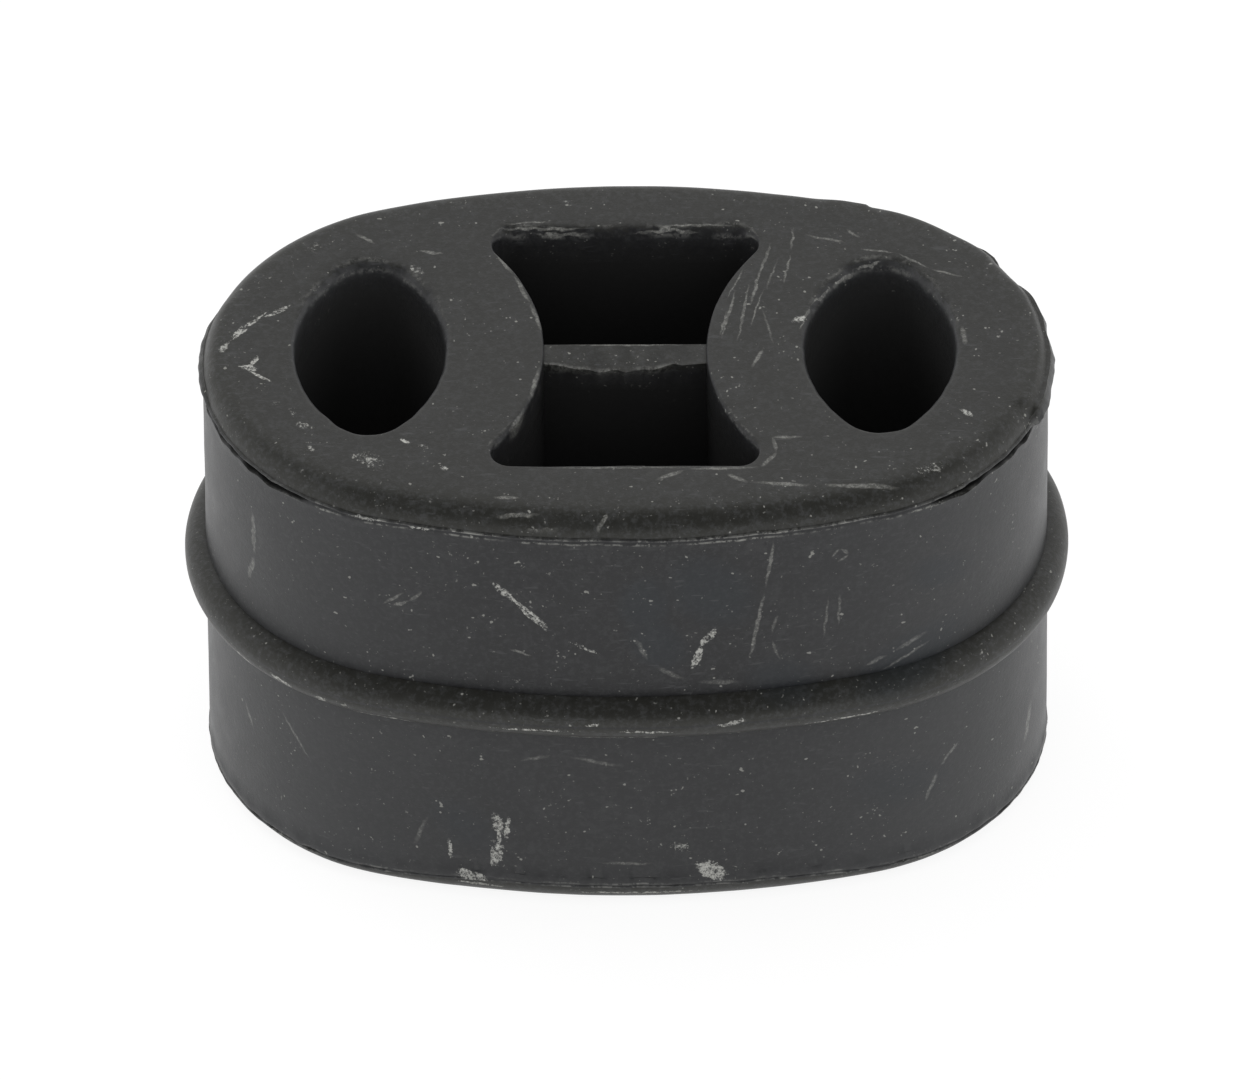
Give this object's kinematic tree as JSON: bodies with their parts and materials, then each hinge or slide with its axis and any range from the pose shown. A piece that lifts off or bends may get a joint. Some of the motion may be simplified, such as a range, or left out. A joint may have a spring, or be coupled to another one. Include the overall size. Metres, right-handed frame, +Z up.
{
  "type": "exhaust hanger",
  "caption": "Oval rubber block with a bead round its middle, two upright rod bores and a waisted cavity between them that a thin web divides.",
  "frame": {"origin": "middle of the bottom face, on the surface that the block stands on", "axes": "+X along the long axis of the oval, +Y across it, +Z up along the bores"},
  "size_m": [0.065, 0.0428, 0.037],
  "materials": {
    "rubber": "matt black moulded rubber, slightly bloomed and scuffed"
  },
  "bodies": {
    "root": {"hanger_block": "rubber"}
  },
  "joints": []
}
